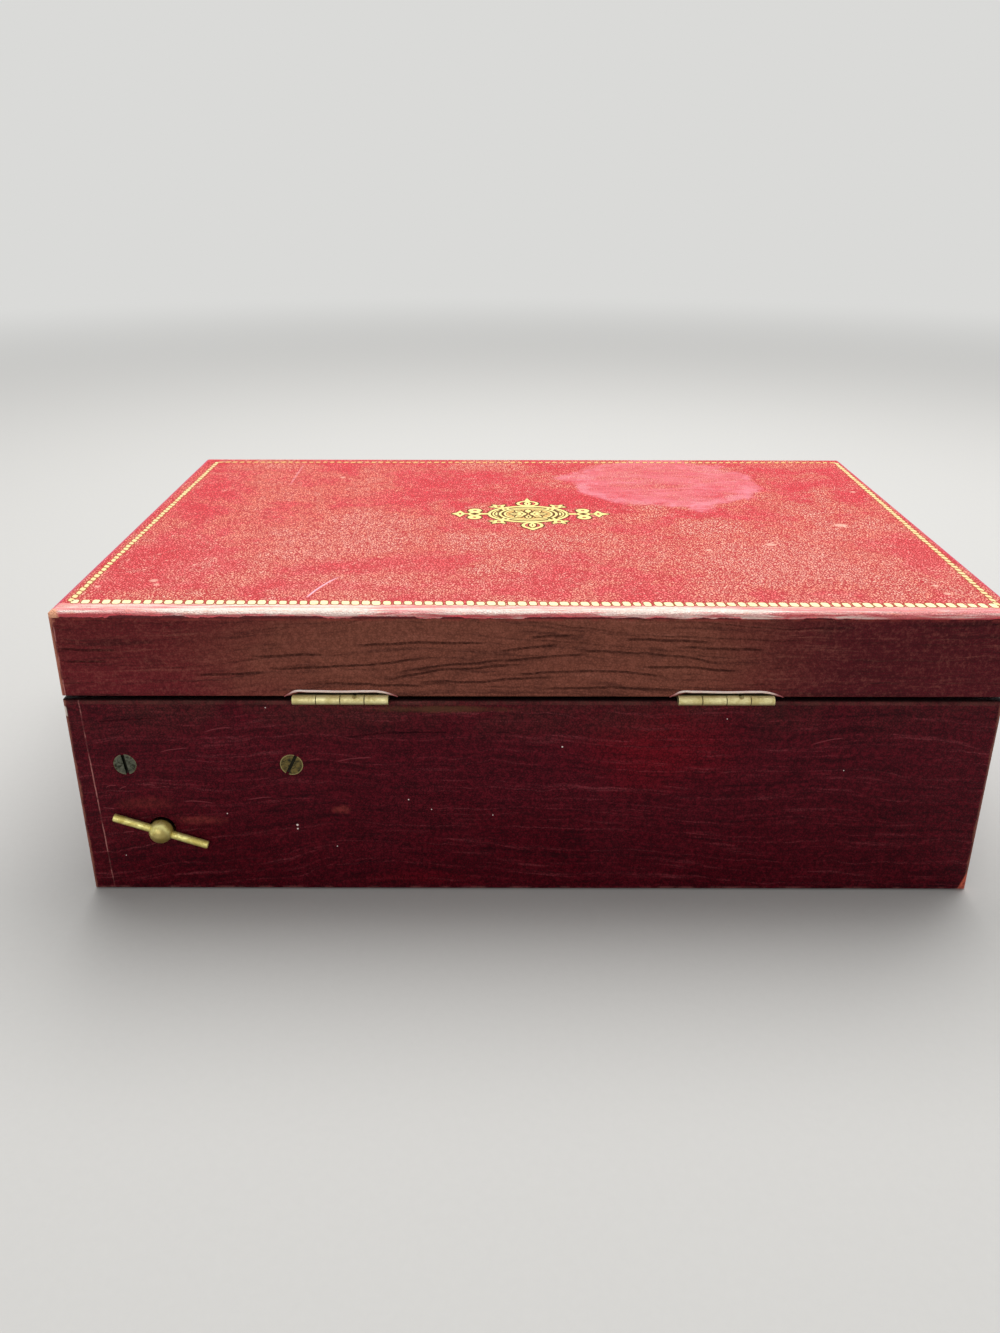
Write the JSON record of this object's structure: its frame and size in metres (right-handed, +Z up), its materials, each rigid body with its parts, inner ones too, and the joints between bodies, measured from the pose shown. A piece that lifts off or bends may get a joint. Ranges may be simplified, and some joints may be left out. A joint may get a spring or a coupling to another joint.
{
  "type": "musical jewelry box",
  "caption": "Leather-covered hinged case with velvet-lined compartments, a mirror in the lid and a key-wound cylinder musical movement with a comb under glass.",
  "frame": {"origin": "middle of the underside, on the surface the box stands on", "axes": "+X across the width, towards the winding key's side, +Y towards the hinged back, +Z up through the lid"},
  "size_m": [0.28, 0.1935, 0.0955],
  "materials": {
    "leather": "crimson goatskin, fine grain, worn edges",
    "wood": "bare deal boards",
    "velvet": "cream velvet on card",
    "felt": "dark felt",
    "glass": "clear",
    "mirror": "silvered",
    "gilt_brass": "gilt, bright",
    "hinge_brass": "pale worn brass",
    "brass": "clean brushed brass",
    "aged_brass": "dull handled brass",
    "steel": "ground",
    "blued_steel": "blued spring steel"
  },
  "bodies": {
    "case": {"base_front_board": "wood", "base_back_board": "wood", "base_side_boards": "wood", "base_floor_board": "wood", "base_leather": "leather", "underside_felt": "felt", "base_wall_liners": "velvet", "base_floor_liner": "velvet", "long_divider": "velvet", "cross_dividers": "velvet", "music_side_wall": "velvet", "ring_roll_base": "velvet", "ring_rolls": "velvet", "glass_ledges": "wood", "music_glass": "glass", "hinge_base_leaves": "hinge_brass", "hinge_pins": "hinge_brass", "base_leaf_screws": "hinge_brass", "lock_case": "brass", "keyhole_liner": "brass", "bedplate": "brass", "cylinder_brackets": "brass", "comb": "steel", "comb_screws": "steel", "governor_frame": "brass", "governor_screw": "steel", "ratchet_click": "steel", "stop_rod_bracket": "brass", "mounting_screws": "aged_brass"},
    "lid": {"lid_front_board": "wood", "lid_back_board": "wood", "lid_side_boards": "wood", "lid_top_board": "wood", "lid_side_leather": "leather", "lid_top_leather": "leather", "lid_wall_liners": "velvet", "lid_top_liner": "velvet", "mirror_glass": "mirror", "mirror_frame": "gilt_brass", "hinge_lid_leaves": "hinge_brass", "lid_leaf_screws": "hinge_brass", "lock_link_plate": "brass"},
    "winding": {"winding_arbor": "steel", "ratchet_wheel": "steel", "key_hub": "aged_brass", "key_bar": "aged_brass"},
    "spring_barrel": {"spring_drum": "brass", "drum_cover": "brass", "mainspring": "blued_steel"},
    "music_cylinder": {"pinned_cylinder": "brass", "cylinder_arbor": "steel", "cylinder_gear": "brass", "crown_pinion": "steel"},
    "governor_wheel": {"governor_arbor": "steel", "worm_wheel": "brass"},
    "air_brake": {"fan_spindle": "steel", "fan": "brass"},
    "stop": {"stop_rod": "steel"},
    "bolt": {"lock_bolt": "steel"}
  },
  "joints": [
    {"name": "lid_hinge", "type": "hinge", "parent": "case", "child": "lid", "pos_m": [0, 0.0949, 0.068], "axis": [-1, 0, 0], "range_deg": [0, 100]},
    {"name": "key_turn", "type": "hinge", "parent": "case", "child": "winding", "pos_m": [0.1152, 0.094, 0.023], "axis": [0, 1, 0], "continuous": true},
    {"name": "barrel_turn", "type": "hinge", "parent": "case", "child": "spring_barrel", "pos_m": [0.1152, 0.08, 0.023], "axis": [0, -1, 0], "continuous": true},
    {"name": "cylinder_turn", "type": "hinge", "parent": "case", "child": "music_cylinder", "pos_m": [0.085, 0.0715, 0.023], "axis": [1, 0, 0], "continuous": true},
    {"name": "governor_wheel_turn", "type": "hinge", "parent": "case", "child": "governor_wheel", "pos_m": [0.105, 0.06514, 0.02834], "axis": [1, 0, 0], "continuous": true},
    {"name": "fan_turn", "type": "hinge", "parent": "case", "child": "air_brake", "pos_m": [0.1094, 0.06, 0.03434], "axis": [0, -1, 0], "continuous": true},
    {"name": "stop_rod_slide", "type": "slide", "parent": "case", "child": "stop", "axis": [0, 0, 1], "range_m": [0, 0.004]},
    {"name": "lock_bolt_slide", "type": "slide", "parent": "case", "child": "bolt", "axis": [1, 0, 0], "range_m": [0, 0.003]}
  ],
  "couplings": [
    {"joint": "cylinder_turn", "follows": "barrel_turn", "ratio": -3.8},
    {"joint": "governor_wheel_turn", "follows": "barrel_turn", "ratio": 19.422},
    {"joint": "fan_turn", "follows": "barrel_turn", "ratio": -466.13},
    {"joint": "stop_rod_slide", "follows": "lid_hinge", "m_per_rad": 0.00229}
  ]
}
